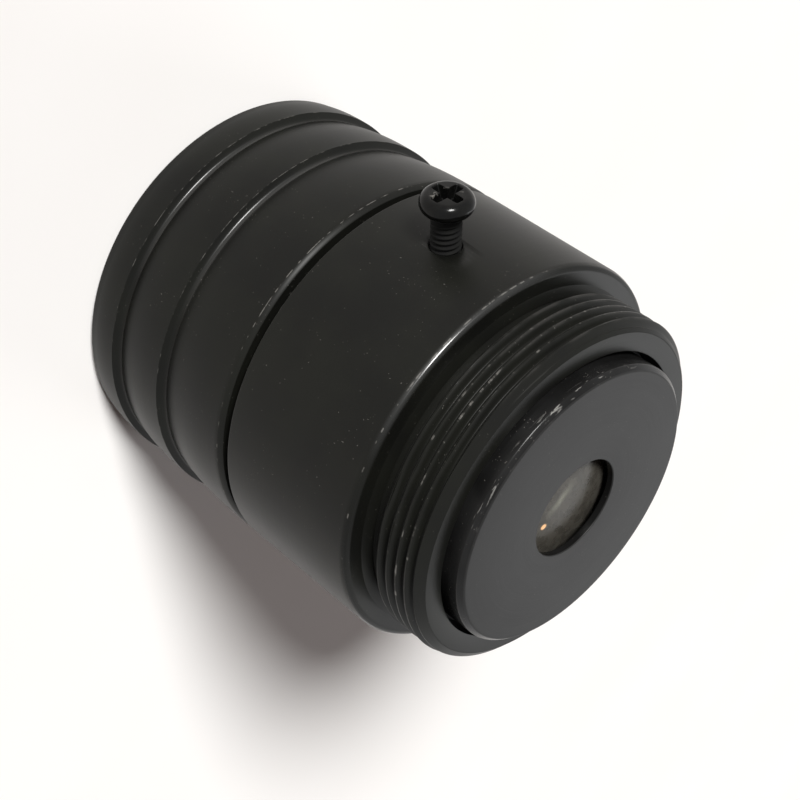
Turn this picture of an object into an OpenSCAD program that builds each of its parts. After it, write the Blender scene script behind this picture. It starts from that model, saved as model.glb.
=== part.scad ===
/* Small camera lens with a manual focus ring, a lock screw and a one-inch mount thread.
   The optical axis is Z. The lens stands on its front rim, so the mount thread points up.
   The lock screw stands out along X. */

/* [Walls and threads] */
// Diameter over the crests of the mount thread, which all other diameters follow
mount_thread_d = 25.4; // [24.4:0.1:30]
// Width of the flange face outside the mount thread
flange_w = 1.4; // [1:0.1:2]
// Wall of the plain barrel round the focus thread
barrel_wall = 1.8; // [1.5:0.1:2]
// Wall of the mount thread round the rear bore, measured from the crests
rear_wall = 2.07; // [1.9:0.01:2.2]
// Wall of the focus sleeve
sleeve_wall = 1.3; // [1.1:0.1:1.4]
// Wall of the cell round the front element
cell_wall = 1.92; // [1.7:0.02:2.1]
// Wall of the grip ring round the filter thread
rim_wall = 1.62; // [1.4:0.02:1.7]
// Running clearance on the radius, in threads and guides
fit = 0.05; // [0.02:0.01:0.08]
// Clearance on the radius where one still piece sits in another
seat_fit = 0.03; // [0.01:0.01:0.05]

/* [Focus ring] */
// Length of the grip ring
ring_len = 14.85; // [13.5:0.05:17]
// Gap left between the grip ring and the barrel, as the lens is set
ring_gap = 0.6; // [0.55:0.05:1.4]
// Place of the first crest, from the front rim
crest_1 = 3; // [2.6:0.1:3.8]
// Place of the second crest, from the front rim
crest_2 = 8; // [7:0.1:9]
// Depth of the groove behind a crest
groove_depth = 0.5; // [0.3:0.02:0.7]
// Length of the wall behind a crest, steep at first and eased at its foot
groove_wall = 0.5; // [0.4:0.05:0.8]
// Fall of the first band towards the front rim
front_fall = 0.25; // [0:0.05:0.5]
// Bevel of the front rim
rim_bevel = 0.3; // [0.1:0.05:0.5]
// Bevel of the grip ring next to the barrel
ring_bevel = 0.2; // [0.1:0.05:0.3]
// Length of the filter thread
filter_len = 2.6; // [2:0.1:3]
// Place of the inner flange that seats on the focus sleeve
ring_seat_z = 8.4; // [8:0.1:9]
// Thickness of the inner flange
ring_flange_t = 0.96; // [0.8:0.02:1.1]

/* [Mount barrel] */
// Length of the plain barrel up to the flange face
barrel_len = 11.5; // [11:0.25:15]
// Length from the flange face to the end of the thread
mount_thread_len = 4.95; // [4.2:0.05:5.2]
// Length of the relief between the flange face and the first thread
relief_w = 1.05; // [0.95:0.05:1.4]
// Depth of the relief below the thread crests
relief_depth = 0.75; // [0.5:0.05:0.85]
// Depth of the lead chamfer at the end of the thread
lead_chamfer = 0.7; // [0.4:0.05:0.95]
// Length of the lead chamfer
lead_len = 0.5; // [0.4:0.05:0.9]
// Thickness of the wall under the flange, which stops the cell
step_wall = 1.15; // [0.9:0.05:1.4]

/* [Focus travel] */
// Travel of the cell towards the camera
travel_in = 0.4; // [0.3:0.05:0.5]
// Travel of the cell away from the camera
travel_out = 1.4; // [0.8:0.05:1.45]

/* [Focus sleeve] */
// Depth of the smooth land under the lock screw
land_depth = 0.45; // [0.3:0.05:0.5]
// Thickness of the slip washer behind the sleeve
washer_t = 0.3; // [0.2:0.05:0.4]

/* [Lens cell] */
// Thickness of the flange that carries the cell in the sleeve
cell_flange_t = 1.15; // [0.8:0.05:1.4]
// Depth of the open gap round the rear cap
rear_gap_depth = 1.6; // [1.2:0.1:1.8]
// Length of the front spigot, which holds the trim ring
spigot_len = 1.3; // [1:0.1:1.5]
// Wall of the front spigot
spigot_wall = 1.12; // [0.9:0.02:1.3]
// Depth of the thread under the cell nut
cell_nut_step = 0.4; // [0.2:0.05:0.5]
// Diameter of the guide pin
guide_pin_d = 0.8; // [0.6:0.05:0.9]
// Depth of the slot that the guide pin runs in
guide_slot_depth = 1.1; // [0.8:0.1:1.4]

/* [Trim ring] */
// Thickness of the trim ring in front of the cell
trim_t = 2.2; // [1.8:0.1:2.6]
// Width that the small end of the trim ring stands in over the front bore
trim_overlap = 0.18; // [0.1:0.02:0.4]
// Number of light-trap steps inside the trim ring
trim_steps = 5; // [3:1:8]

/* [Glass] */
// Place of the front element's edge, from the front rim
front_glass_z = 8.3; // [8.2:0.1:8.8]
// Edge thickness of the front element
front_glass_t = 2; // [1.7:0.1:2.3]
// Height of the front element's dome
front_dome = 1.7; // [1.2:0.1:1.9]
// Depth of the hollow behind the front element
front_hollow = 1.9; // [1.2:0.1:2.1]
// Height of the front retaining ring
front_retainer_t = 1.2; // [0.9:0.1:1.5]
// How much smaller the second element is on the radius than the first
second_glass_step = 1.95; // [1.6:0.05:2.2]
// Edge thickness of the second element
second_glass_t = 1.4; // [1.2:0.1:1.7]
// Air between the edges of the first two elements
front_air = 3.3; // [3.1:0.1:3.6]
// Length of the narrow web in front of the aperture plate
web_len = 2; // [1.5:0.1:2.4]
// How much smaller the rear elements are on the radius than the front element
rear_glass_step = 2.5; // [2.2:0.05:2.8]
// Thickness of the aperture plate
stop_t = 0.3; // [0.2:0.05:0.4]
// Width of the aperture plate outside the fixed aperture
stop_rim = 3.55; // [2.4:0.05:4.5]
// Length of the ring between the aperture plate and the cemented pair
stop_spacer_len = 1.6; // [1.3:0.1:2]
// Edge thickness of the rear element
rear_glass_t = 1.2; // [1:0.1:1.5]
// Height of the rear element's dome
rear_dome = 0.95; // [0.6:0.05:1]
// Width of the rear retaining ring
rear_retainer_w = 1.25; // [0.9:0.05:1.5]
// Height of the rear retaining ring
rear_retainer_t = 0.6; // [0.4:0.05:0.6]

/* [Rear cap] */
// Width of the open gap between the rear cap and the mount thread's bore
rear_gap = 0.32; // [0.28:0.02:0.6]
// Wall of the rear cap's skirt
cap_wall = 0.95; // [0.7:0.05:1.2]
// Height of the rear cap above the end of the thread
rear_cap_out = 1.34; // [1.1:0.02:1.6]
// Thickness of the cap's end plate
rear_cap_t = 0.5; // [0.4:0.05:0.9]
// Bevel round the flat face of the rear cap
cap_bevel = 0.35; // [0.15:0.05:0.4]
// Space between the cap's end plate and the end of the cell
cap_space = 0.2; // [0.15:0.05:0.4]
// Diameter of the hole in the cap
rear_hole_d = 7.2; // [6:0.1:9]

/* [Lock screw] */
// Place of the lock screw behind the front of the barrel
screw_place = 5.45; // [5.2:0.05:6]
// Thread diameter of the lock screw
screw_d = 2; // [1.6:0.1:2.3]
// Clearance on the radius between the lock screw and its hole
screw_fit = 0.04; // [0.02:0.01:0.08]
// Length of the lock screw under its head
screw_len = 4; // [3.5:0.5:6]
// Diameter of the screw head
screw_head_d = 3.5; // [3.2:0.1:4.5]
// Height of the screw head
screw_head_h = 1.3; // [1.1:0.1:1.6]
// Length of the soft pad under the screw
pad_len = 0.5; // [0.4:0.1:0.8]
// Gap from the pad to the sleeve while the screw is slack
pad_gap = 0.35; // [0.32:0.01:0.5]

/* [Hidden] */
$fn = 96;
eps = 0.01;

anodised = [0.13, 0.13, 0.12];
blackened = [0.06, 0.06, 0.06];
glass_tint = [0.62, 0.7, 0.72, 0.5];

edge = 0.15;
rear_edge = 0.4;
ring_bevel_slope = 1.75;
ring_bevel_len = ring_bevel * ring_bevel_slope;

// Across the axis, from the mount thread inwards
crest_r = mount_thread_d / 2;
body_r = crest_r + flange_w;
relief_r = crest_r - relief_depth;
relief_slope = 0.3;
rear_bore_r = crest_r - rear_wall;
guide_r = rear_bore_r - fit;
cap_r = rear_bore_r - rear_gap;
cap_thread_r = cap_r - cap_wall;
barrel_bore_r = body_r - barrel_wall;
sleeve_r = barrel_bore_r - fit;
land_r = sleeve_r - land_depth;
sleeve_bore_r = sleeve_r - sleeve_wall;
cell_r = sleeve_bore_r - fit;
cell_flange_gap = 0.4;
cell_flange_r = barrel_bore_r - cell_flange_gap;
front_bore_r = cell_r - cell_wall;
spigot_r = front_bore_r + spigot_wall;
cell_nut_thread_r = cell_r - cell_nut_step;
filter_r = body_r - rim_wall;
filter_thread_depth = 0.22;
ring_relief_r = filter_r + filter_thread_depth;
trim_gap = 0.35;
trim_r = ring_relief_r - trim_gap;
nut_gap = 0.5;
cell_nut_r = ring_relief_r - nut_gap;
trim_opening_r = front_bore_r - trim_overlap;

// Along the axis, from the front rim to the rear cap
barrel_z = ring_len + ring_gap;
flange_z = barrel_z + barrel_len;
thread_end_z = flange_z + mount_thread_len;
step_z = flange_z - step_wall;
stop_gap = 0.15;
cell_flange_top = step_z - travel_in - stop_gap;
cell_flange_z = cell_flange_top - cell_flange_t;
sleeve_end_z = cell_flange_z - washer_t;
guide_end_z = thread_end_z - rear_gap_depth;
cap_top_z = thread_end_z + rear_cap_out;
cap_plate_z = cap_top_z - rear_cap_t;
cell_end_z = cap_plate_z - cap_space;
trim_inset = 0.1;
trim_z = filter_len + trim_inset;
cell_z = trim_z + trim_t;
end_play = 0.04;
cell_nut_z = cell_z + spigot_len;
cell_nut_top = ring_seat_z - ring_flange_t - end_play;
screw_z = barrel_z + screw_place;

// The glass, from the front to the rear
front_glass_r = front_bore_r - seat_fit;
glass_lip = 0.85;
front_lip_r = front_glass_r - glass_lip;
hollow_rim = 0.3;
hollow_r = front_lip_r - hollow_rim;
front_glass_end = front_glass_z + front_glass_t;
second_glass_r = front_glass_r - second_glass_step;
second_bore_r = second_glass_r + seat_fit;
second_glass_z = front_glass_end + front_air;
second_dome = 1.3;
second_hollow = 0.8;
second_glass_end = second_glass_z + second_glass_t;
second_lip = 0.6;
second_lip_r = second_glass_r - second_lip;
web_step = 1.2;
web_r = second_glass_r - web_step;
seat_depth = 0.3;
front_step_z = second_glass_z - seat_depth;
stop_z = second_glass_end + web_len;
rear_glass_r = front_glass_r - rear_glass_step;
rear_glass_bore_r = rear_glass_r + seat_fit;
rear_lip_r = rear_glass_r - glass_lip;
flint_z = stop_z + stop_t + stop_spacer_len;
flint_t = 3;
flint_hollow = 0.7;
flint_rim = 0.2;
cement_dome = 1.3;
cement_film = 0.02;
crown_z = flint_z + flint_t + cement_film;
crown_t = 0.8;
crown_dome = 1.2;
crown_end = crown_z + crown_t;
rear_front_dome = 0.9;
rear_glass_end = cell_end_z - seat_fit - rear_dome;
rear_glass_z = rear_glass_end - rear_glass_t;
rear_window_r = rear_glass_r - rear_retainer_w;

// The guide pin and its slot
guide_pin_r = guide_pin_d / 2;
guide_pin_z = flange_z + relief_w / 2;
guide_slot_r = guide_pin_r + fit;
guide_slot_spare = 0.1;
guide_slot_low = guide_pin_z - travel_in - guide_slot_spare;
guide_slot_high = guide_pin_z + travel_out + guide_slot_spare;

// The lock screw and its pad
screw_r = screw_d / 2;
screw_hole_r = screw_r + screw_fit;
pad_fit = 0.02;
pad_r = screw_r - pad_fit;
pad_x = land_r + pad_gap;
screw_tip_x = pad_x + pad_len;
screw_head_x = screw_tip_x + screw_len;
land_margin = 0.2;
land_z = screw_z - travel_in - pad_r - land_margin;

// Radius of the sphere whose cap has this height on this half width
function cap_sphere_r(half, height) = (half * half + height * height) / (2 * height);

// How far such a cap has fallen from its top at the radius r
function cap_fall(half, height, r) =
    cap_sphere_r(half, height) - sqrt(pow(cap_sphere_r(half, height), 2) - r * r);

// One grip band: low behind the last crest, then a hollow sweep up to the next crest
function band(z0, z1, depth, steps) =
    [for (i = [0:steps]) [body_r - depth * pow(1 - i / steps, 2.6), z0 + (z1 - z0) * i / steps]];

// A ring between two heights, open in the middle
module tube(outer, inner, z0, z1) {
    translate([0, 0, z0])
        difference() {
            cylinder(r = outer, h = z1 - z0);
            translate([0, 0, -eps]) cylinder(r = inner, h = z1 - z0 + 2 * eps);
        }
}

// A dome on a flat face at z, which bulges up the axis, or down it where up is false
module dome(half, height, z, up) {
    sphere_r = cap_sphere_r(half, height);
    centre = up ? z + height - sphere_r : z - height + sphere_r;
    intersection() {
        translate([0, 0, centre]) sphere(r = sphere_r, $fn = 128);
        translate([0, 0, up ? z - eps : z - height - eps]) cylinder(r = half, h = height + 2 * eps);
    }
}

// The two spanner slots in the front or rear face of a retaining ring
module spanner_slots(outer, inner, z, width, depth) {
    for (side = [-1, 1])
        translate([side * (outer + inner) / 2, 0, z])
            cube([outer - inner + 1, width, 2 * depth], center = true);
}

// The turned grip: three hollow bands, each ending in a crest with a steep wall behind it
module focus_ring() {
    crest_break = 0.1;
    foot_depth = 0.86;
    foot_rise = 0.5;
    foot_r = body_r - groove_depth * foot_depth;
    foot_len = groove_wall * foot_rise;
    grip = concat(
        [[body_r - front_fall - rim_bevel, 0]],
        band(rim_bevel, crest_1, front_fall, 6),
        [[body_r - crest_break, crest_1 + crest_break / 2], [foot_r, crest_1 + foot_len]],
        band(crest_1 + groove_wall, crest_2, groove_depth, 10),
        [[body_r - crest_break, crest_2 + crest_break / 2], [foot_r, crest_2 + foot_len]],
        band(crest_2 + groove_wall, ring_len - ring_bevel_len, groove_depth, 10),
        [[body_r - ring_bevel, ring_len]]
    );
    inside = [
        [sleeve_r + seat_fit, ring_len],
        [sleeve_r + seat_fit, ring_seat_z],
        [sleeve_bore_r, ring_seat_z],
        [sleeve_bore_r, ring_seat_z - ring_flange_t],
        [ring_relief_r, ring_seat_z - ring_flange_t],
        [ring_relief_r, filter_len],
        [filter_r, filter_len],
        [filter_r, 0]
    ];
    color(anodised) rotate_extrude() polygon(concat(grip, inside));
}

// The sleeve that the grip turns: focus thread in front, smooth land behind
module focus_sleeve() {
    color(blackened)
        rotate_extrude() polygon([
            [sleeve_bore_r, ring_seat_z],
            [sleeve_r, ring_seat_z],
            [sleeve_r, land_z - land_depth],
            [land_r, land_z],
            [land_r, sleeve_end_z],
            [sleeve_bore_r, sleeve_end_z]
        ]);
}

// The plain barrel with its flange face, relief and mount thread
module mount_barrel() {
    edge_share = 0.3;
    drill_past = 0.5;
    color(anodised) difference() {
        rotate_extrude() polygon([
            [barrel_bore_r + edge, barrel_z],
            [body_r - edge, barrel_z],
            [body_r, barrel_z + edge],
            [body_r, flange_z - rear_edge],
            [body_r - rear_edge * edge_share, flange_z - rear_edge * edge_share],
            [body_r - rear_edge, flange_z],
            [crest_r + seat_fit, flange_z],
            [relief_r, flange_z + relief_slope],
            [relief_r, flange_z + relief_w - relief_slope],
            [crest_r, flange_z + relief_w],
            [crest_r, thread_end_z - lead_len],
            [crest_r - lead_chamfer, thread_end_z],
            [rear_bore_r, thread_end_z],
            [rear_bore_r, step_z],
            [barrel_bore_r, step_z],
            [barrel_bore_r, barrel_z + edge]
        ]);
        translate([barrel_bore_r - drill_past, 0, screw_z])
            rotate([0, 90, 0]) cylinder(r = screw_hole_r, h = body_r);
        translate([-rear_bore_r + drill_past, 0, guide_pin_z])
            rotate([0, -90, 0]) cylinder(r = guide_pin_r, h = rear_wall + drill_past, $fn = 48);
    }
}

// The pin through the relief that keeps the cell from turning
module guide_pin() {
    slot_floor_gap = 0.2;
    sunk = 0.1;
    inner = guide_r - guide_slot_depth + slot_floor_gap;
    color("silver")
        translate([-inner, 0, guide_pin_z])
            rotate([0, -90, 0]) cylinder(r = guide_pin_r, h = relief_r - sunk - inner, $fn = 48);
}

// The inner barrel that holds all the glass and slides without turning
module lens_cell() {
    color(blackened) difference() {
        rotate_extrude() polygon([
            [front_bore_r, cell_z],
            [spigot_r, cell_z],
            [spigot_r, cell_nut_z],
            [cell_nut_thread_r, cell_nut_z],
            [cell_nut_thread_r, cell_nut_top],
            [cell_r, cell_nut_top],
            [cell_r, cell_flange_z],
            [cell_flange_r, cell_flange_z],
            [cell_flange_r, cell_flange_top],
            [guide_r, cell_flange_top],
            [guide_r, guide_end_z],
            [cap_thread_r - seat_fit, guide_end_z],
            [cap_thread_r - seat_fit, cell_end_z],
            [rear_glass_bore_r, cell_end_z],
            [rear_glass_bore_r, stop_z],
            [web_r, stop_z],
            [web_r, second_glass_end],
            [second_bore_r, second_glass_end],
            [second_bore_r, front_step_z],
            [front_bore_r, front_step_z]
        ]);
        translate([-guide_r + guide_slot_depth, 0, 0]) guide_slot();
    }
}

// The round-ended slot for the guide pin, cut from the outside towards the axis
module guide_slot() {
    past_cell = 1;
    slot_cut = guide_slot_depth + past_cell;
    for (z = [guide_slot_low, guide_slot_high])
        translate([0, 0, z]) rotate([0, -90, 0]) cylinder(r = guide_slot_r, h = slot_cut, $fn = 48);
    translate([-slot_cut, -guide_slot_r, guide_slot_low])
        cube([slot_cut, 2 * guide_slot_r, guide_slot_high - guide_slot_low]);
}

// The nut on the front of the cell that keeps it in the turning sleeve
module cell_nut() {
    color(blackened) difference() {
        tube(cell_nut_r, cell_nut_thread_r + seat_fit, cell_nut_z, cell_nut_top);
        spanner_slots(cell_nut_r, cell_nut_thread_r, cell_nut_z, width = 1.4, depth = 0.5);
    }
}

// The washer between the turning sleeve and the still cell
module slip_washer() {
    color("ivory") tube(cell_flange_r, cell_r + seat_fit, sleeve_end_z, cell_flange_z);
}

// The plain front ring with light-trap steps down to the glass
module trim_ring() {
    rim = 0.55;
    lip = 0.3;
    slope = 0.8;
    nut_clear = 0.1;
    mouth_r = trim_r - rim;
    run = (mouth_r - trim_opening_r) / trim_steps;
    rise = (trim_t - lip) / trim_steps;
    steps = [for (i = [0:trim_steps - 1]) each [
        [trim_opening_r + run * i, cell_z - lip - rise * i],
        [trim_opening_r + run * (i + 1), cell_z - lip - rise * (i + slope)]
    ]];
    color(blackened) rotate_extrude() polygon(concat(
        [[spigot_r + seat_fit, cell_z], [trim_opening_r, cell_z]],
        steps,
        [
            [mouth_r, trim_z],
            [trim_r, trim_z],
            [trim_r, cell_nut_z - nut_clear],
            [spigot_r + seat_fit, cell_nut_z - nut_clear]
        ]
    ));
}

// The large front meniscus
module front_element() {
    color(glass_tint) difference() {
        union() {
            translate([0, 0, front_glass_z]) cylinder(r = front_glass_r, h = front_glass_t);
            dome(front_glass_r, front_dome, front_glass_z, false);
        }
        dome(hollow_r, front_hollow, front_glass_end, false);
    }
}

// The slotted ring that screws in against the front element
module front_retainer() {
    front_top = front_glass_z - front_dome;
    rear_face = front_top + cap_fall(front_glass_r, front_dome, front_lip_r) - seat_fit;
    color(blackened) difference() {
        tube(front_bore_r - seat_fit / 2, front_lip_r, rear_face - front_retainer_t, rear_face);
        spanner_slots(front_bore_r, front_lip_r, rear_face - front_retainer_t, width = 1.2, depth = 0.6);
    }
}

// The ring that keeps the first two elements apart
module front_spacer() {
    lip_share = 0.25;
    cone_share = 0.5;
    color(blackened) rotate_extrude() polygon([
        [hollow_r, front_glass_end],
        [front_glass_r, front_glass_end],
        [front_glass_r, front_step_z],
        [second_lip_r, front_step_z],
        [second_lip_r, front_step_z - front_air * lip_share],
        [hollow_r, front_step_z - front_air * cone_share]
    ]);
}

// The second element, a meniscus that bulges to the front
module second_element() {
    color(glass_tint) difference() {
        union() {
            translate([0, 0, second_glass_z]) cylinder(r = second_glass_r, h = second_glass_t);
            dome(second_glass_r, second_dome, second_glass_z, false);
        }
        dome(web_r - hollow_rim, second_hollow, second_glass_end, false);
    }
}

// The thin plate with the fixed aperture
module aperture_stop() {
    color(blackened) tube(rear_glass_r, rear_glass_r - stop_rim, stop_z, stop_z + stop_t);
}

// The ring between the aperture plate and the cemented pair
module stop_spacer() {
    color(blackened) tube(rear_glass_r, rear_lip_r, stop_z + stop_t, flint_z);
}

// The hollow half of the cemented pair
module flint_element() {
    color(glass_tint) difference() {
        translate([0, 0, flint_z]) cylinder(r = rear_glass_r, h = flint_t);
        dome(rear_lip_r - flint_rim, flint_hollow, flint_z, true);
        dome(rear_glass_r, cement_dome, flint_z + flint_t, false);
    }
}

// The bulging half of the cemented pair
module crown_element() {
    color(glass_tint) union() {
        translate([0, 0, crown_z]) cylinder(r = rear_glass_r, h = crown_t);
        dome(rear_glass_r, cement_dome, crown_z, false);
        dome(rear_glass_r, crown_dome, crown_end, true);
    }
}

// The long ring between the cemented pair and the rear element
module rear_spacer() {
    z0 = crown_end + crown_dome - cap_fall(rear_glass_r, crown_dome, rear_lip_r) + seat_fit;
    z1 = rear_glass_z - rear_front_dome + cap_fall(rear_glass_r, rear_front_dome, rear_lip_r) - seat_fit;
    color(blackened) tube(rear_glass_r, rear_lip_r, z0, z1);
}

// The rear element, bulging both ways
module rear_element() {
    color(glass_tint) union() {
        translate([0, 0, rear_glass_z]) cylinder(r = rear_glass_r, h = rear_glass_t);
        dome(rear_glass_r, rear_front_dome, rear_glass_z, false);
        dome(rear_glass_r, rear_dome, rear_glass_end, true);
    }
}

// The slotted ring that screws in behind the rear element
module rear_retainer() {
    low = rear_glass_end + rear_dome - cap_fall(rear_glass_r, rear_dome, rear_window_r) + seat_fit;
    top = low + rear_retainer_t;
    color(blackened) difference() {
        tube(rear_glass_bore_r - seat_fit / 2, rear_window_r, low, top);
        spanner_slots(rear_glass_bore_r, rear_window_r, top, width = 1, depth = 0.3);
    }
}

// The cup on the end of the cell, with the round window to the sensor
module rear_cap() {
    color(blackened) rotate_extrude() polygon([
        [cap_thread_r, guide_end_z],
        [cap_r, guide_end_z],
        [cap_r, cap_top_z - cap_bevel],
        [cap_r - cap_bevel, cap_top_z],
        [rear_hole_d / 2, cap_top_z],
        [rear_hole_d / 2, cap_plate_z],
        [cap_thread_r, cap_plate_z]
    ]);
}

// The soft pad that the lock screw pushes against the sleeve
module lock_pad() {
    color("ivory")
        translate([pad_x, 0, screw_z]) rotate([0, 90, 0]) cylinder(r = pad_r, h = pad_len, $fn = 48);
}

// The cross-recessed lock screw, its rounded head clear of the barrel
module lock_screw() {
    under_share = 0.7;
    belly_low = 0.36;
    belly_high = 0.62;
    shoulder_share = 0.92;
    shoulder_h = 0.84;
    top_share = 0.74;
    head_r = screw_head_d / 2;
    color([0.05, 0.05, 0.05])
        translate([screw_tip_x, 0, screw_z]) rotate([0, 90, 0]) {
            cylinder(r = screw_r, h = screw_len + eps, $fn = 64);
            translate([0, 0, screw_len])
                difference() {
                    rotate_extrude() polygon([
                        [0, 0],
                        [head_r * under_share, 0],
                        [head_r, screw_head_h * belly_low],
                        [head_r, screw_head_h * belly_high],
                        [head_r * shoulder_share, screw_head_h * shoulder_h],
                        [head_r * top_share, screw_head_h],
                        [0, screw_head_h]
                    ]);
                    screw_recess();
                }
        }
}

// The cross cut into the head
module screw_recess() {
    arm_share = 0.64;
    slot_share = 0.19;
    floor_share = 0.3;
    arm = screw_head_d * arm_share;
    slot = screw_head_d * slot_share;
    floor_z = screw_head_h * floor_share;
    for (turn = [0, 90])
        rotate([0, 0, turn])
            translate([-arm / 2, -slot / 2, floor_z]) cube([arm, slot, screw_head_h]);
}

focus_ring();
focus_sleeve();
mount_barrel();
guide_pin();
lens_cell();
cell_nut();
slip_washer();
trim_ring();
front_element();
front_retainer();
front_spacer();
second_element();
aperture_stop();
stop_spacer();
flint_element();
crown_element();
rear_spacer();
rear_element();
rear_retainer();
rear_cap();
lock_pad();
lock_screw();
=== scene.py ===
# %% [markdown]
# # A small camera lens, turned from black anodised aluminium
# A lens like this is a stack of turned rings: a grip that is turned to focus, a plain barrel that
# screws to a camera, and an inner cell that holds the glass. This lesson dresses the measured solids
# of the lens: it lights them, gives each surface its real finish, and rebuilds the pieces that need
# finer shapes than the solids have, such as threads, soft edges and the cross in the screw head.

# %% Load the measured solids
import math

import bmesh
import bpy
import numpy as np
from mathutils import Matrix, Vector


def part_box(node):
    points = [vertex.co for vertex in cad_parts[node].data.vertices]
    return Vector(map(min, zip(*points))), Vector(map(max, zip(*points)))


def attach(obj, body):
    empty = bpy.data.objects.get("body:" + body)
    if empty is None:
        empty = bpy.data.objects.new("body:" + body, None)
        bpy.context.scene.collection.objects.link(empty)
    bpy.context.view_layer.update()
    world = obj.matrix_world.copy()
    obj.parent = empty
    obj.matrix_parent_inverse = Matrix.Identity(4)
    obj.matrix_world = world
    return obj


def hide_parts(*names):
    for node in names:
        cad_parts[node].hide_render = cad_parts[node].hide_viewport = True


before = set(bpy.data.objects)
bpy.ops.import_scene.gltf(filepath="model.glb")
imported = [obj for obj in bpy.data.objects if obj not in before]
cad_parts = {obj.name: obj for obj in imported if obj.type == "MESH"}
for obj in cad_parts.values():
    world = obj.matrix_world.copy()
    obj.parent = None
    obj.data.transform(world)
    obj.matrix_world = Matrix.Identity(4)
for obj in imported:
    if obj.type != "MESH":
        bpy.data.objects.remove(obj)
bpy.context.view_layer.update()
MM = 0.001

# %% [markdown]
# ## Sizes from the solids
# Everything below is fitted to the solids, so the sizes are read from their boxes. A turned piece
# is described by its largest radius and the heights of its two ends along the axis, in millimetres.


# %% Read radius and heights of a turned solid
def turned_size(node):
    """Largest radius, low end and high end of a turned solid, in millimetres."""
    low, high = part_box(node)
    return high.y / MM, low.z / MM, high.z / MM


body_r, rim_z, ring_end = turned_size("focus_ring")
_, barrel_z, thread_end = turned_size("mount_barrel")
sleeve_r, sleeve_z, sleeve_end = turned_size("focus_sleeve")
cap_r, cap_low, cap_top = turned_size("rear_cap")
cell_flange_r, cell_z, cell_end = turned_size("lens_cell")
trim_r, trim_z, trim_end = turned_size("trim_ring")
print("body radius", round(body_r, 2), "length", round(cap_top - rim_z, 2))

# %% [markdown]
# ## The camera
# The lens is seen from its rear end, a little to one side, from a hand's width away. The camera was
# found by matching the circles of the real lens, whose mount thread has a known size. It is written
# as a point on the axis to look at, two angles, a distance, and how far the camera is rolled over.

# %% Set the camera
AIM = Vector((-0.559, 0.734, 17.735)) * MM
AIM_DISTANCE = 112.355 * MM
AZIMUTH = math.radians(37.3)
ELEVATION = math.radians(32.35)
ROLL = math.radians(125.73)

back = Vector((math.cos(AZIMUTH) * math.cos(ELEVATION), math.sin(AZIMUTH) * math.cos(ELEVATION),
               math.sin(ELEVATION)))
level = Vector((0, 0, 1)).cross(back).normalized()
right = Matrix.Rotation(ROLL, 3, back) @ level
up = back.cross(right)
eye = bpy.data.objects.new("eye", bpy.data.cameras.new("eye"))
bpy.context.scene.collection.objects.link(eye)
eye.matrix_world = Matrix.Translation(AIM + back * AIM_DISTANCE) @ Matrix((right, up, back)).transposed().to_4x4()
eye.data.lens = 73.575
eye.data.sensor_width = 36
eye.data.clip_start = 0.005
eye.data.clip_end = 20
bpy.context.scene.camera = eye
bpy.context.scene.view_settings.view_transform = "Standard"
print("camera at", [round(c / MM, 1) for c in eye.location])

# %% [markdown]
# ## Sums on shader sockets
# A finish is a pattern of numbers over a surface. Blender works it out with nodes, and the class
# below lets those nodes be written as sums: each wire is one output of a node, and adding or
# multiplying two wires makes the Math node that does it. Every other node comes from `make`.


# %% A wire that does sums
class Wire:
    """One output of a shader node. A sum on wires adds its own Math node."""

    def __init__(self, tree, socket=None):
        self.tree = tree
        self.socket = socket

    def make(self, kind, settings=None, sockets=None, output=0):
        """Adds a node: its settings first, then the values or wires of its sockets."""
        node = self.tree.nodes.new(kind)
        for name, value in (settings or {}).items():
            if name == "stops":
                for stop, (place, shade) in zip(node.color_ramp.elements, value):
                    stop.position = place
                    stop.color = (shade, shade, shade, 1)
            else:
                setattr(node, name, value)
        for name, value in (sockets or {}).items():
            if isinstance(value, Wire):
                self.tree.links.new(value.socket, node.inputs[name])
            else:
                node.inputs[name].default_value = value
        return Wire(self.tree, node.outputs[output])

    def also(self, output):
        """Another output of the same node."""
        return Wire(self.tree, self.socket.node.outputs[output])

    def maths(self, operation, first, second=0.0):
        return self.make("ShaderNodeMath", {"operation": operation}, {0: first, 1: second})

    def __add__(self, other):
        return self.maths("ADD", self, other)

    __radd__ = __add__

    def __mul__(self, other):
        return self.maths("MULTIPLY", self, other)

    __rmul__ = __mul__

    def __sub__(self, other):
        return self.maths("SUBTRACT", self, other)

    def __rsub__(self, other):
        return self.maths("SUBTRACT", other, self)

    def __truediv__(self, other):
        return self.maths("DIVIDE", self, other)

    def __pow__(self, other):
        return self.maths("POWER", self, other)

    def size(self):
        return self.maths("ABSOLUTE", self)

    def ramp(self, low, high):
        """0 below low, 1 above high, and a soft rise between them."""
        return self.make("ShaderNodeMapRange", {"interpolation_type": "SMOOTHSTEP"},
                         {"Value": self, "From Min": low, "From Max": high})

    def near(self, centre, half):
        """1 at centre, falling to 0 at half this far to either side."""
        return 1 - (self - centre).size().ramp(0.0, half)

    def blend(self, start, end):
        """A colour that goes from start to end as this wire goes from 0 to 1."""
        return self.make("ShaderNodeMix", {"data_type": "RGBA"}, {0: self, 6: start, 7: end}, output=2)


def grey(value, warmth=0.0):
    """A grey colour; warmth takes some blue away, and a little red."""
    return (value * (1 - 0.2 * warmth), value, value * (1 - warmth), 1.0)


print("a wire can be added, multiplied, ramped and blended")

# %% [markdown]
# ## Where a point is on a turned piece
# A lathe leaves its marks in circles, so patterns on this lens are written in the lathe's own
# measures: height along the axis, radius, and direction round the axis. The direction is kept as a
# point on a circle instead of an angle, because an angle has a seam where it starts again.


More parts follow.
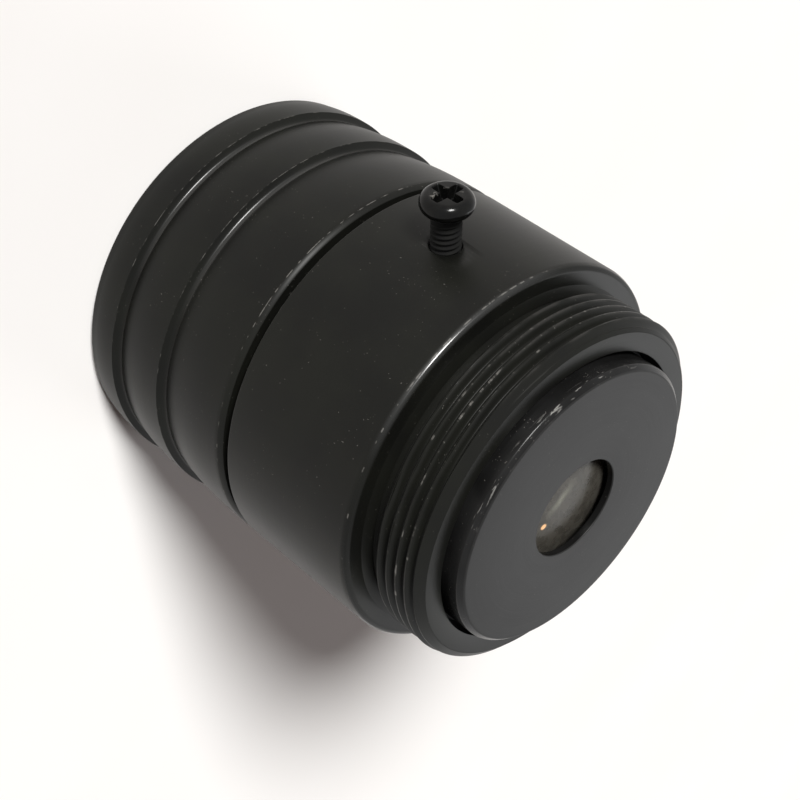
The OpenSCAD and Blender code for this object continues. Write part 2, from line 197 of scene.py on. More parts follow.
# %% Places and patterns on a turned piece
class Spot:
    """The place of a surface point in millimetres, and patterns that follow the lathe."""

    def __init__(self, tree):
        self.point = Wire(tree).make("ShaderNodeTexCoord", output="Object")
        parts = self.point.make("ShaderNodeSeparateXYZ", {}, {0: self.point})
        self.x = parts * (1 / MM)
        self.y = parts.also("Y") * (1 / MM)
        self.z = parts.also("Z") * (1 / MM)
        self.r = (self.x * self.x + self.y * self.y) ** 0.5

    def noise(self, x, y, z, detail=2.0, rough=0.5):
        vector = self.point.make("ShaderNodeCombineXYZ", {}, {0: x, 1: y, 2: z})
        return vector.make("ShaderNodeTexNoise", {"noise_dimensions": "3D"},
                           {"Vector": vector, "Scale": 1.0, "Detail": detail, "Roughness": rough})

    def grain(self, per_mm, detail=2.0):
        """Even noise with this many lumps to the millimetre."""
        return self.noise(self.x * per_mm, self.y * per_mm, self.z * per_mm, detail)

    def rings(self, per_mm, wander=0.12):
        """Fine circles left by the tool, which wander a little round the piece."""
        along = (self.z + self.r * 1.37) * per_mm
        return self.noise(self.x * wander, self.y * wander, along, detail=3.0, rough=0.6)

    def patches(self, round_the_axis, along=0.3, shift=0.0):
        """Long patches round the axis, for wear that comes and goes."""
        return self.noise(self.x / self.r * round_the_axis, self.y / self.r * round_the_axis,
                          self.z * along + shift, detail=3.0)


print("patterns: grain, rings, patches")

# %% [markdown]
# ## Starting a finish
# Each finish is one Principled shader. Numbers that are the same all over the surface are set on the
# shader's own sockets; only what changes over the surface is wired to it.


# %% A new finish
def new_finish(name, fixed):
    """A material with its shader and the place of its points. fixed holds the even numbers."""
    material = bpy.data.materials.new(name)
    material.use_nodes = True
    tree = material.node_tree
    shader = tree.nodes["Principled BSDF"]
    for socket, value in fixed.items():
        shader.inputs[socket].default_value = value
    return material, shader, Spot(tree)


def feed(shader, **wires):
    """Wires patterns to the shader; Base_Color stands for the socket Base Color."""
    for name, wire in wires.items():
        wire.tree.links.new(wire.socket, shader.inputs[name.replace("_", " ")])


def relief(height, strength, depth):
    """A height pattern as a bumped normal; depth is in metres."""
    return height.make("ShaderNodeBump", {}, {"Height": height, "Strength": strength,
                                              "Distance": depth}, output="Normal")


print("a finish is one shader with patterns wired to it")

# %% [markdown]
# ## Black anodised aluminium
# The grip and the barrel are bead-blasted and anodised: a thin, hard, dyed oxide layer over bright
# metal. It is almost black, slightly warm, and satin, with a fine even grain and faint lathe rings.
# Where edges rub, the dye is gone and bare metal shows in broken lines, so each worn edge is given by
# its height and radius, and a noise that follows the edge breaks the line up. Hands and the screw
# side of the camera rub it mostly on one side, so the wear is strongest there; that side is also where
# the lamp's highlights fall, so the lines there are partly painted highlights. A few specks of pale
# dust lie on everything.

# %% The dust, and the edge lines of wear and painted highlight
ALUMINIUM = (0.30, 0.295, 0.28, 1.0)
EDGE_WEAR_AND_HIGHLIGHT = (0.15, 0.145, 0.135, 1.0)
DUST = (0.12, 0.115, 0.105, 1.0)
PALE_CREST = (0.023, 0.0225, 0.021, 1.0)
WEAR_AND_HIGHLIGHT_SIDE = math.radians(20)
PALE_CREST_SIDE = math.radians(-20)


def dust_on(spot, amount):
    """Small pale specks; amount goes from 0 to 1."""
    lumps = spot.grain(9.0, detail=0.0)
    thin = spot.grain(0.45, detail=2.0)
    return (lumps + thin * 0.3).ramp(1.00 - 0.06 * amount, 1.03 - 0.06 * amount)


def wear_and_highlight_on(spot, edges):
    """Broken lines of bare metal along edges, each given as height, radius, width and share. They are made strongest
    on the side where the lamp's highlights fall, so they are partly wear and partly painted highlights.
    """
    towards = (spot.x * math.cos(WEAR_AND_HIGHLIGHT_SIDE) + spot.y * math.sin(WEAR_AND_HIGHLIGHT_SIDE)) / spot.r
    # Painted highlight: the lines are made brightest on the side where the lamp's highlights fall.
    lit_and_rubbed = towards.ramp(0.72, 0.98)
    wear_and_highlight = None
    for number, (height, radius, width, share) in enumerate(edges):
        line = spot.z.near(height, width) * spot.r.near(radius, min(width, 0.08))
        broken = spot.patches(24.0, along=1.0, shift=3.7 * number) + lit_and_rubbed * (0.24 * share)
        line = line * broken.ramp(0.50, 0.74)
        wear_and_highlight = line if wear_and_highlight is None else wear_and_highlight + line
    return wear_and_highlight.ramp(0.15, 0.9)


# %% The anodised finish
def pale_thread_crests(spot):
    """Paler patches on the crests of the mount thread, on one side."""
    crests = spot.r.ramp(CREST_R - 0.15, CREST_R - 0.02) * spot.z.ramp(flange_z + 0.7, flange_z + 1.0)
    towards = (spot.x * math.cos(PALE_CREST_SIDE) + spot.y * math.sin(PALE_CREST_SIDE)) / spot.r
    return crests * towards.ramp(0.5, 0.95) * spot.patches(5.0, along=0.6).ramp(0.42, 0.60) * 0.7


def anodised(name, edges, burnished_at, pale_zone=None, tone=0.0045):
    """Black anodising; burnished_at gives the heights of corners that the tool left smooth."""
    material, shader, spot = new_finish(name, {"IOR": 1.45, "Specular IOR Level": 0.15,
                                               "Coat Roughness": 0.24, "Coat IOR": 1.5})
    cloud = spot.grain(0.22, detail=3.0)
    rings = spot.rings(14.0)
    fine = spot.grain(22.0, detail=1.0)
    dust = dust_on(spot, 0.12)
    wear_and_highlight = wear_and_highlight_on(spot, edges)
    smooth = spot.z.near(burnished_at[0], 0.3)
    for height in burnished_at[1:]:
        smooth = smooth + spot.z.near(height, 0.3)
    base_tone = cloud.ramp(0.3, 0.7).blend(grey(tone, 0.12), grey(tone * 1.4, 0.20))
    if pale_zone:
        base_tone = pale_zone(spot).blend(base_tone, PALE_CREST)
    dusty = (dust * 0.5).blend(base_tone, DUST)
    # Bare metal along the edges, partly wear and partly painted highlight.
    feed(shader, Base_Color=(wear_and_highlight * 0.7).blend(dusty, EDGE_WEAR_AND_HIGHLIGHT))
    feed(shader, Metallic=wear_and_highlight * 0.3)
    towards = (spot.x * math.cos(WEAR_AND_HIGHLIGHT_SIDE) + spot.y * math.sin(WEAR_AND_HIGHLIGHT_SIDE)) / spot.r
    feed(shader, Coat_Weight=smooth * towards.ramp(0.75, 1.0) * 0.9)
    feed(shader, Roughness=0.34 + rings * 0.06 + cloud * 0.05 + dust * 0.2 - wear_and_highlight * 0.08 - smooth * 0.17)
    feed(shader, Normal=relief(rings * 0.6 + fine * 0.8, 0.30, 0.004 * MM))
    return material


BARREL_LENGTH = 11.5
RING_CRESTS = [3.0, 8.0]
WALL_BEHIND = 0.5
CREST_R = 12.7
flange_z = barrel_z + BARREL_LENGTH
# Edge lines: partly wear, partly painted highlights on the lamp's side.
ring_edges = [(RING_CRESTS[0] + 0.02, body_r, 0.05, 0.4), (RING_CRESTS[1] + 0.02, body_r, 0.05, 0.5),
              (ring_end - 0.35, body_r, 0.06, 0.5), (0.3, body_r - 0.25, 0.08, 0.2)]
barrel_edges = [(flange_z - 0.30, body_r - 0.07, 0.10, 0.6), (barrel_z + 0.08, body_r - 0.08, 0.06, 0.2),
                (30.0, CREST_R, 2.2, 0.1)]
ring_finish = anodised("anodised_grip", ring_edges, [crest + 0.42 for crest in RING_CRESTS])
barrel_finish = anodised("anodised_barrel", barrel_edges, [flange_z - 0.2], pale_thread_crests)
print("anodised finishes:", ring_finish.name, barrel_finish.name)

# %% [markdown]
# ## Blackened inner metal
# Inside the lens every ring is a deep, duller black, so that no stray light reaches the sensor. Only
# the fresh cut of the threads keeps a little shine.


# %% The blackened finish
def blackened(name, tone, rough, ring_depth=0.003):
    material, shader, spot = new_finish(name, {"IOR": 1.45, "Specular IOR Level": 0.2})
    rings = spot.rings(9.0)
    cloud = spot.grain(0.5)
    dust = dust_on(spot, 0.2)
    base_tone = cloud.ramp(0.3, 0.7).blend(grey(tone), grey(tone * 1.6, 0.1))
    feed(shader, Base_Color=(dust * 0.4).blend(base_tone, DUST))
    feed(shader, Roughness=rough + rings * 0.12 + dust * 0.2)
    feed(shader, Normal=relief(rings, 0.5, ring_depth * MM))
    return material


inner_black = blackened("inner_black", 0.006, 0.45)
thread_black = blackened("thread_black", 0.008, 0.35)
print("inner finishes:", inner_black.name, thread_black.name)

# %% [markdown]
# ## The rear cap
# The cap round the rear window was turned last. Its flat face is a fine satin grey-black that
# catches the light of the table, and its side wall is glossy, with tool rings that glint. The face is
# given a paler colour than the wall, partly its own finish and partly a painted sheen of the table's
# light, and bare-metal flecks on the lit side of the bevel are painted glints. One finish does both:
# the height of the point says which of the two it is.


# %% The finish of the cap
def cap_finish():
    material, shader, spot = new_finish("cap_black", {"IOR": 1.45, "Specular IOR Level": 0.17})
    face = spot.z.ramp(cap_top - 0.10, cap_top - 0.03)
    rings = spot.rings(11.0)
    fine = spot.grain(26.0, detail=1.0)
    cloud = spot.grain(0.3)
    dust = dust_on(spot, 0.5)
    towards = (spot.x * math.cos(WEAR_AND_HIGHLIGHT_SIDE) + spot.y * math.sin(WEAR_AND_HIGHLIGHT_SIDE)) / spot.r
    # Painted glints: bare-metal flecks on the bevel, only on the side where the lamp's highlights fall.
    lit_bevel = spot.r.near(cap_r - 0.1, 0.35) * spot.z.near(cap_top - 0.35, 0.4) * towards.ramp(0.6, 0.95)
    glint_flecks = spot.patches(10.0, along=8.0).ramp(0.60, 0.68) * lit_bevel
    # Painted sheen: the flat face gets a paler colour than the side wall, partly for the light of the table.
    base_tone = face.blend(grey(0.005), grey(0.013))
    shade = (cloud.ramp(0.35, 0.7) * 0.35).blend(base_tone, grey(0.017))
    dusty = (dust * 0.5).blend(shade, DUST)
    feed(shader, Base_Color=(glint_flecks * 0.8).blend(dusty, ALUMINIUM))
    feed(shader, Metallic=glint_flecks * 0.8)
    feed(shader, Roughness=0.19 + face * 0.23 + rings * 0.12 + dust * 0.1)
    feed(shader, Normal=relief(rings * (1 - face * 0.8) + fine * face * 0.7, 0.5, 0.006 * MM))
    return material


cap_black = cap_finish()
print("cap finish:", cap_black.name)

# %% [markdown]
# ## Glass, pin, nylon and screw
# The glass has a thin coating that turns its reflections slightly amber. The guide pin is ground
# steel, the washer and the pad are pale nylon, and the lock screw is glossy black over steel, with
# bright metal where the driver has bitten the edges of the cross.


# %% The small finishes
def coated_glass(name, tint):
    material, shader, spot = new_finish(name, {"IOR": 1.6, "Transmission Weight": 1.0,
                                               "Thin Film Thickness": 96.0, "Thin Film IOR": 1.38})
    haze = spot.grain(0.9, detail=3.0)
    dust = dust_on(spot, 0.3)
    feed(shader, Base_Color=haze.ramp(0.3, 0.8).blend((1, 1, 1, 1), tint))
    feed(shader, Roughness=haze * 0.03 + dust * 0.25)
    return material


def hazy_glass():
    """The rear element, which has gone hazy, with a painted reflection as a paler streak on the side towards the
    camera, and one painted amber glint near its edge that glows.
    """
    material, shader, spot = new_finish("hazy_glass", {"IOR": 1.15, "Transmission Weight": 0.3,
                                                       "Emission Strength": 1.0})
    away = spot.x * math.cos(AZIMUTH) + spot.y * math.sin(AZIMUTH)
    across = spot.y * math.cos(AZIMUTH) - spot.x * math.sin(AZIMUTH)
    mottle = spot.grain(1.3, detail=3.0)
    # Painted reflection: a paler streak on the glass, on the side towards the camera.
    painted_reflection = away.near(0.9, 0.5) * across.near(0.1, 1.8)
    haze = mottle.ramp(0.3, 0.7).blend((0.062, 0.058, 0.049, 1), (0.095, 0.089, 0.076, 1))
    feed(shader, Base_Color=painted_reflection.blend(haze, (0.22, 0.22, 0.18, 1)))
    feed(shader, Roughness=0.20 + mottle * 0.15)
    # Painted glint: a small amber spot that glows by emission.
    painted_glint = (away.near(0.45, 0.36) * across.near(2.15, 0.36)).ramp(0.1, 0.6)
    feed(shader, Emission_Color=painted_glint.blend((0, 0, 0, 1), (1.0, 0.55, 0.25, 1)))
    return material


def nylon_finish():
    material, shader, spot = new_finish("nylon", {"IOR": 1.53, "Subsurface Weight": 0.0})
    cloud = spot.grain(1.2)
    feed(shader, Base_Color=cloud.ramp(0.3, 0.7).blend((0.72, 0.69, 0.60, 1), (0.60, 0.57, 0.48, 1)))
    feed(shader, Roughness=0.42 + cloud * 0.15)
    feed(shader, Normal=relief(spot.grain(8.0), 0.3, 0.01 * MM))
    return material


def steel_finish():
    material, shader, spot = new_finish("ground_steel", {"Metallic": 1.0})
    lines = spot.noise(spot.x * 20, spot.y * 2, spot.z * 2)
    feed(shader, Base_Color=lines.ramp(0.3, 0.7).blend((0.50, 0.50, 0.49, 1), (0.62, 0.61, 0.59, 1)))
    feed(shader, Roughness=0.22 + lines * 0.15)
    return material


def screw_finish(under_head, head_top, axis_z):
    material, shader, spot = new_finish("screw_black", {"IOR": 1.5, "Specular IOR Level": 0.14})
    off_axis = (spot.y * spot.y + (spot.z - axis_z) * (spot.z - axis_z)) ** 0.5
    head = spot.x.ramp(under_head - 0.1, under_head + 0.3)
    cloud = spot.grain(1.5)
    lip = off_axis.near(0.85, 0.35) * spot.x.near(head_top - 0.08, 0.16)
    bitten = lip * spot.grain(2.6).ramp(0.60, 0.68) * 0.7
    coat = cloud.ramp(0.3, 0.7).blend(grey(0.002), grey(0.004, 0.1))
    feed(shader, Base_Color=bitten.blend(coat, (0.30, 0.29, 0.27, 1)))
    feed(shader, Metallic=bitten)
    feed(shader, Roughness=0.80 - head * 0.66 + cloud * 0.06)
    feed(shader, Normal=relief(spot.grain(4.0), 0.4, 0.012 * MM))
    return material


glass = coated_glass("coated_glass", (0.97, 0.95, 0.90, 1))
nylon = nylon_finish()
steel = steel_finish()
rear_glass = hazy_glass()
print("small finishes:", glass.name, rear_glass.name, nylon.name, steel.name)

# %% [markdown]
# ## Meshes from loops
# Every piece of this lens can be skinned from loops of points: a turned ring is its outline carried
# round the axis, a thread is the same with each loop climbing as it goes round, and the cross in the
# screw head is a few star-shaped loops. So one function skins loops, and others make them.

# %% Skin a stack of loops
COLUMNS = 256
all_pieces = {}


def skin(name, loops, finish, closed=False):
    """A mesh over a stack of loops, in millimetres. closed joins the last loop to the first."""
    loops = np.asarray(loops, float) * MM
    rows, columns, _ = loops.shape
    index = np.arange(rows * columns).reshape(rows, columns)
    if closed:
        index = np.vstack([index, index[:1]])
    corners = [index[:-1, :-1], index[:-1, 1:], index[1:, 1:], index[1:, :-1]]
    faces = np.stack(corners, -1).reshape(-1, 4)
    mesh = bpy.data.meshes.new(name)
    mesh.from_pydata(loops.reshape(-1, 3).tolist(), [], faces.tolist())
    grown = bmesh.new()
    grown.from_mesh(mesh)
    bmesh.ops.remove_doubles(grown, verts=grown.verts, dist=2e-7)
    bmesh.ops.dissolve_degenerate(grown, dist=1e-8, edges=grown.edges)
    bmesh.ops.recalc_face_normals(grown, faces=grown.faces)
    for face in grown.faces:
        face.smooth = True
    grown.to_mesh(mesh)
    grown.free()
    mesh.set_sharp_from_angle(angle=math.radians(32))
    mesh.materials.append(finish)
    piece = bpy.data.objects.new(name, mesh)
    bpy.context.scene.collection.objects.link(piece)
    return piece


def put(piece, node, body):
    """The piece stands for a solid and rides on its body."""
    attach(piece, body)
    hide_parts(node)
    all_pieces[piece.name] = len(piece.data.polygons)
    print(piece.name, len(piece.data.polygons), "faces")
    return piece


# %% Loops round the axis
def soften(corners, steps=4):
    """Rounds the corners of an outline; each corner is radius, height and how far it is eased."""
    points = []
    for number, (r, z, ease) in enumerate(corners):
        here = Vector((r, z))
        before = Vector(corners[number - 1][:2]) - here
        after = Vector(corners[(number + 1) % len(corners)][:2]) - here
        cut = min(ease, 0.45 * before.length, 0.45 * after.length)
        if cut <= 0:
            points.append((r, z))
            continue
        start = here + before.normalized() * cut
        end = here + after.normalized() * cut
        for t in np.linspace(0, 1, steps + 1):
            eased = start * (1 - t) ** 2 + here * (2 * t * (1 - t)) + end * t ** 2
            points.append(tuple(eased))
    return points


def round_axis(points, columns=COLUMNS):
    """The loops of an outline of radius and height, carried once round the axis."""
    outline = np.array(points, float)
    turn = np.linspace(0, 2 * math.pi, columns + 1)
    x = outline[:, :1] * np.cos(turn)
    y = outline[:, :1] * np.sin(turn)
    z = np.repeat(outline[:, 1:], columns + 1, axis=1)
    return np.stack([x, y, z], -1)


def turned(name, corners, finish, columns=COLUMNS):
    """A turned ring from the corners of its section."""
    return skin(name, round_axis(soften(corners), columns), finish, closed=True)


print("loops: eased outlines carried round the axis")

# %% [markdown]
# ## Cutting a thread
# A thread is a groove wound round a blank. Each loop here climbs by the lead as it goes once round,
# and its depth is set by where it lies between two crests. The blank's own outline still limits the
# radius, so the thread runs out by itself where the blank is chamfered or necked, as on a lathe.

# %% The loops of a thread
CREST_TO_CREST = [(0.0, 0.0), (0.06, 0.0), (0.09, 0.05), (0.41, 0.95), (0.45, 1.0),
                  (0.55, 1.0), (0.59, 0.95), (0.91, 0.05), (0.94, 0.0)]


def cut_thread(blank, low, high, crest, pitch, depth, starts=1, side=-1, fill=2, columns=COLUMNS,
               shift=0.0, bruise=0.0):
    """Loops of a thread from low to high. blank gives heights and radii; side -1 cuts inwards."""
    lead = pitch * starts
    phases = np.array(CREST_TO_CREST + [(1.0, 0.0)])
    fine = np.interp(np.arange((len(phases) - 1) * fill) / fill, np.arange(len(phases)), phases[:, 0])
    turns = np.arange(math.floor((low - lead - shift) / pitch) - 1, math.ceil((high - shift) / pitch) + 1)
    along = (turns[:, None] + fine[None, :]).ravel()
    groove = np.interp(along % 1.0, phases[:, 0], phases[:, 1]) * depth
    turn = np.linspace(0, 1, columns + 1)
    z = np.clip(along[:, None] * pitch + shift + lead * turn[None, :], low, high)
    limit = np.interp(z, [b[0] for b in blank], [b[1] for b in blank])
    cut = crest + side * groove[:, None]
    if bruise:
        dents = np.random.default_rng(5).random(2400) ** 4 * bruise
        wound = (np.floor(along)[:, None] / starts + turn[None, :] + 10) * 40
        cut = cut - np.interp(wound, np.arange(2400), dents) * (groove[:, None] < 0.2 * depth)
    r = np.minimum(limit, cut) if side < 0 else np.maximum(limit, cut)
    angle = turn * 2 * math.pi
    return np.stack([r * np.cos(angle), r * np.sin(angle), z], -1)


print("threads are cut with", len(CREST_TO_CREST), "points from crest to crest")

# %% [markdown]
# ## The focus grip
# The grip has no knurling. Three shallow hollows are turned into it instead, and each sweeps up
# towards the rear to a crest with a steep wall behind it, so that wet fingers can pull as well as
# turn. A filter thread is cut inside its front rim.

# %% Turn the grip
HOLLOW = 0.5
REAR_BEVEL = 0.2
REAR_BEVEL_LENGTH = 0.35
filter_r = body_r - 1.62
relief_inside_r = filter_r + 0.22
seat_z = sleeve_z
flange_under = seat_z - 0.96
ring_bore_r = sleeve_r + 0.03
small_bore_r = sleeve_r - 1.3


def hollow_band(low, high, depth, steps):
    """One band of the grip, from the bottom of the hollow up to its crest."""
    share = np.linspace(0, 1, steps + 1)
    return [(body_r - depth * (1 - t) ** 2.6, low + (high - low) * t) for t in share]


def grip_outline():
    points = soften([(filter_r + 0.3, 0.05, 0), (body_r - 0.25 - 0.3, 0, 0.06), (body_r - 0.25, 0.3, 0.10),
                     (body_r - 0.15, 1.2, 0)])[1:-1]
    points += hollow_band(0.7, RING_CRESTS[0] - 0.06, 0.20, 10)
    low_ends = [crest + WALL_BEHIND for crest in RING_CRESTS]
    high_ends = [RING_CRESTS[1] - 0.06, ring_end - REAR_BEVEL_LENGTH - 0.04]
    for crest, low, high in zip(RING_CRESTS, low_ends, high_ends):
        points += [(body_r, crest), (body_r - 0.03, crest + 0.02), (body_r - 0.09, crest + 0.05)]
        points += [(body_r - 0.36, crest + 0.18), (body_r - 0.42, crest + 0.23), (body_r - 0.455, crest + 0.29)]
        points += [(body_r - 0.478, crest + 0.35), (body_r - 0.49, crest + 0.41), (body_r - 0.497, crest + 0.46)]
        points += hollow_band(low + 0.01, high, HOLLOW, 22)
    points += [(body_r - 0.02, ring_end - REAR_BEVEL_LENGTH + 0.04), (body_r - REAR_BEVEL + 0.02, ring_end - 0.04),
               (body_r - REAR_BEVEL - 0.04, ring_end)]
    inside = [(ring_bore_r + 0.1, ring_end, 0), (ring_bore_r, ring_end - 0.1, 0), (ring_bore_r, seat_z, 0),
              (small_bore_r, seat_z, 0), (small_bore_r, flange_under, 0.05),
              (relief_inside_r, flange_under, 0.08), (relief_inside_r, 2.6, 0.05)]
    return points, soften(inside)


outside, inside = grip_outline()
filter_blank = [(0.0, filter_r + 0.27), (0.25, filter_r), (2.45, filter_r), (2.6, relief_inside_r)]
filter_thread = cut_thread(filter_blank, 0.0, 2.6, filter_r, 0.5, 0.25, side=1)[::-1]
grip_loops = np.concatenate([round_axis(outside), round_axis(inside), filter_thread])
grip = skin("grip_turned", grip_loops, ring_finish, closed=True)
put(grip, "focus_ring", "grip")

# %% [markdown]
# ## The barrel and its mount thread
# The barrel is plain. Behind its flat flange comes a neck, and then the one-inch thread with 32
# turns to the inch that all cameras of this kind take. The end of the thread has a wide chamfer, so
# that it finds its way into the camera. The screw hole and the pin hole are cut afterwards.

# %% Turn the barrel
PITCH = 25.4 / 32
THREAD_DEPTH = 0.487
NECK_WIDTH = 1.05
NECK_SLOPE = 0.3
LEAD_DEPTH = 0.7
LEAD_LENGTH = 0.5
REAR_EDGE = 0.4
NECK_R = 11.95
rear_bore_r = CREST_R - 2.07
barrel_bore_r = body_r - 1.8
step_z = flange_z - 1.15
neck_end = flange_z + NECK_WIDTH
front_part = soften([(barrel_bore_r, step_z, 0.05), (barrel_bore_r, barrel_z + 0.15, 0.05),
                     (barrel_bore_r + 0.15, barrel_z, 0.05), (body_r - 0.15, barrel_z, 0.05),
                     (body_r, barrel_z + 0.15, 0.08), (body_r, barrel_z + 4.0, 0), (body_r, barrel_z + 8.0, 0),
                     (body_r, flange_z - REAR_EDGE, 0.12), (body_r - 0.12, flange_z - 0.12, 0.10),
                     (body_r - REAR_EDGE, flange_z, 0.10), (CREST_R + 0.03, flange_z, 0.03),
                     (NECK_R, flange_z + NECK_SLOPE, 0.12)])
blank = [(neck_end - NECK_SLOPE, NECK_R), (neck_end, CREST_R), (thread_end - LEAD_LENGTH, CREST_R),
         (thread_end, CREST_R - LEAD_DEPTH)]
mount_thread = cut_thread(blank, neck_end - NECK_SLOPE, thread_end, CREST_R, PITCH, THREAD_DEPTH, fill=3,
                          shift=0.39, bruise=0.09)
rear_part = soften([(CREST_R - LEAD_DEPTH, thread_end, 0.04), (rear_bore_r, thread_end, 0.08),
                    (rear_bore_r, step_z, 0)])
barrel_loops = np.concatenate([round_axis(front_part), mount_thread, round_axis(rear_part)])
barrel = skin("barrel_turned", barrel_loops, barrel_finish, closed=True)

# %% Drill the screw hole and the pin hole
screw_low, screw_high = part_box("lock_screw")
pin_low, pin_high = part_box("guide_pin")
screw_z = (screw_low.z + screw_high.z) / 2 / MM
pin_z = (pin_low.z + pin_high.z) / 2 / MM


def laid_on_x(loops, start, height, side=1):
    """Loops made round Z, laid over so that their axis runs along X at this height."""
    u, v, w = loops[..., 0], loops[..., 1], loops[..., 2]
    return np.stack([side * (start + w), v, height - u * side], -1)


def drill(target, loops):
    """Cuts a solid of revolution out of a piece."""
    bit = skin("bit", loops, steel)
    cut = target.modifiers.new("drill", "BOOLEAN")
    cut.operation = "DIFFERENCE"
    cut.object = bit
    cut.solver = "EXACT"
    shaped = target.evaluated_get(bpy.context.evaluated_depsgraph_get())
    drilled = bpy.data.meshes.new_from_object(shaped)
    target.modifiers.clear()
    target.data = drilled
    bpy.data.objects.remove(bit)


hole = [(0, -1.0), (1.04, -1.0), (1.04, 1.62), (1.16, 1.82), (1.16, 3.0), (0, 3.0)]
drill(barrel, laid_on_x(round_axis(hole, 48), barrel_bore_r, screw_z))
pin_hole = [(0, -0.4), (0.405, -0.4), (0.405, 1.5), (0, 1.5)]
drill(barrel, laid_on_x(round_axis(pin_hole, 32), rear_bore_r, pin_z, side=-1))
barrel.data.materials.clear()
barrel.data.materials.append(barrel_finish)
put(barrel, "mount_barrel", "mount")

# %% [markdown]
# ## The sleeve and the cell
# Behind the gap between grip and barrel lies the sleeve with the focus thread. It has four starts,
# so one turn moves it by four pitches. The cell slides inside it without turning, held by a pin in a
# slot, and carries all the glass.

# %% Turn the sleeve
land_r = sleeve_r - 0.45
land_z = screw_z - 0.4 - 0.98 - 0.2
sleeve_bore_r = sleeve_r - 1.3
sleeve_blank = [(sleeve_z, sleeve_r - 0.1), (sleeve_z + 0.1, sleeve_r), (land_z - 0.45, sleeve_r), (land_z, land_r)]
focus_thread = cut_thread(sleeve_blank, sleeve_z, land_z, sleeve_r, 0.6, 0.3, starts=4, fill=1, columns=160)
sleeve_rest = soften([(land_r, sleeve_end, 0.1), (sleeve_bore_r, sleeve_end, 0.05), (sleeve_bore_r, sleeve_z, 0.05)])
sleeve_loops = np.concatenate([focus_thread, round_axis(sleeve_rest, 160)])
sleeve = skin("sleeve_turned", sleeve_loops, thread_black, closed=True)
put(sleeve, "focus_sleeve", "grip")

# %% [markdown]
# ## The rear cap
# The cap is a cup on the end of the cell. Its rim is eased by hand, and the hole in its plate has
# a small bevel that shows as a thin line round the window.

# %% Turn the cap
HOLE_R = 3.6
CAP_BEVEL = 0.35
CAP_PLATE = 0.5
CAP_SKIRT = 0.95
cap_corners = [(cap_r - CAP_SKIRT, cap_low, 0.04), (cap_r, cap_low, 0.08), (cap_r, cap_low + 1.2, 0),
               (cap_r, cap_top - CAP_BEVEL, 0.08), (cap_r - CAP_BEVEL, cap_top, 0.08),
               (HOLE_R + 0.05, cap_top, 0.04), (HOLE_R, cap_top - 0.06, 0.03), (HOLE_R, cap_top - CAP_PLATE, 0.04),
               (cap_r - CAP_SKIRT, cap_top - CAP_PLATE, 0.05)]
cap = turned("cap_turned", cap_corners, cap_black)
put(cap, "rear_cap", "cell")

# %% [markdown]
# ## The lock screw
# The lock screw is a small pan-head screw with a cross recess, left slack, so that its head stands
# clear of the barrel. The head is skinned from star-shaped loops: the floor of the recess, its
# tapered walls, an eased lip, and then loops that pass from the star to the round rim.

# %% Loops of the screw
SCREW_R = 1.0
HEAD_H = 1.3
ARM = 1.12
ARM_HALF_WIDTH = 0.33
STAR_COLUMNS = 192
TOP_R = 1.22
HEAD_SIDE = [(1.34, 1.255), (1.46, 1.19), (1.57, 1.10), (1.65, 0.99), (1.71, 0.88), (1.745, 0.76), (1.75, 0.64),
             (1.745, 0.52), (1.71, 0.40), (1.65, 0.29), (1.56, 0.18), (1.45, 0.09), (1.33, 0.03), (1.22, 0.0)]
screw_tip = screw_low.x / MM
screw_len = screw_high.x / MM - HEAD_H - screw_tip
turn = np.linspace(0, 2 * math.pi, STAR_COLUMNS + 1)


def star(arm, half_width):
    """Radius of the cross in every direction, with softened corners."""
    off_arm = np.abs((turn + math.pi / 4) % (math.pi / 2) - math.pi / 4)
    end = arm / np.cos(off_arm)
    flank = half_width / np.maximum(np.sin(off_arm), 1e-3)
    return (end ** -8 + flank ** -8) ** (-1 / 8)


def crown(radius):
    """Height of the slightly domed top over the underside of the head."""
    return HEAD_H - 0.025 * (radius / TOP_R) ** 2


def star_loop(radius, height):
    return np.stack([radius * np.cos(turn), radius * np.sin(turn), height + screw_len + radius * 0], -1)


mouth = star(ARM, ARM_HALF_WIDTH)
floor = star(ARM * 0.62, ARM_HALF_WIDTH * 0.72)
head_loops = [star_loop(mouth * 0, 0.34), star_loop(floor * 0.7, 0.40), star_loop(floor, 0.50)]
head_loops += [star_loop(mouth - 0.02, crown(mouth) - 0.10), star_loop(mouth, crown(mouth) - 0.04)]
head_loops += [star_loop(mouth + 0.03, crown(mouth) - 0.005)]
for share in np.linspace(0.1, 1, 8):
    radius = (mouth + 0.03) * (1 - share) + TOP_R * share
    head_loops.append(star_loop(radius, crown(radius)))
side = HEAD_SIDE + [(SCREW_R + 0.08, 0.0), (SCREW_R, -0.06), (SCREW_R - 0.03, -0.10)]
head_loops += [star_loop(np.full(STAR_COLUMNS + 1, r), h) for r, h in side]
screw_blank = [(0.0, 0.55), (0.35, SCREW_R), (screw_len - 0.45, SCREW_R), (screw_len - 0.15, SCREW_R - 0.26)]
shank = cut_thread(screw_blank, 0.0, screw_len - 0.12, SCREW_R, 0.4, 0.245, fill=1, columns=STAR_COLUMNS)[::-1]
tip = np.zeros((1, STAR_COLUMNS + 1, 3))
screw_loops = np.concatenate([np.array(head_loops), shank, tip])
screw_black = screw_finish(screw_tip + screw_len, screw_high.x / MM, screw_z)
screw = skin("screw_cut", laid_on_x(screw_loops, screw_tip, screw_z), screw_black)
put(screw, "lock_screw", "screw")

# %% [markdown]
# ## Rings at the front
# From the front, the trim ring steps down to the glass, so that light which misses the glass dies on
# the steps. A slotted ring holds the first element in place.

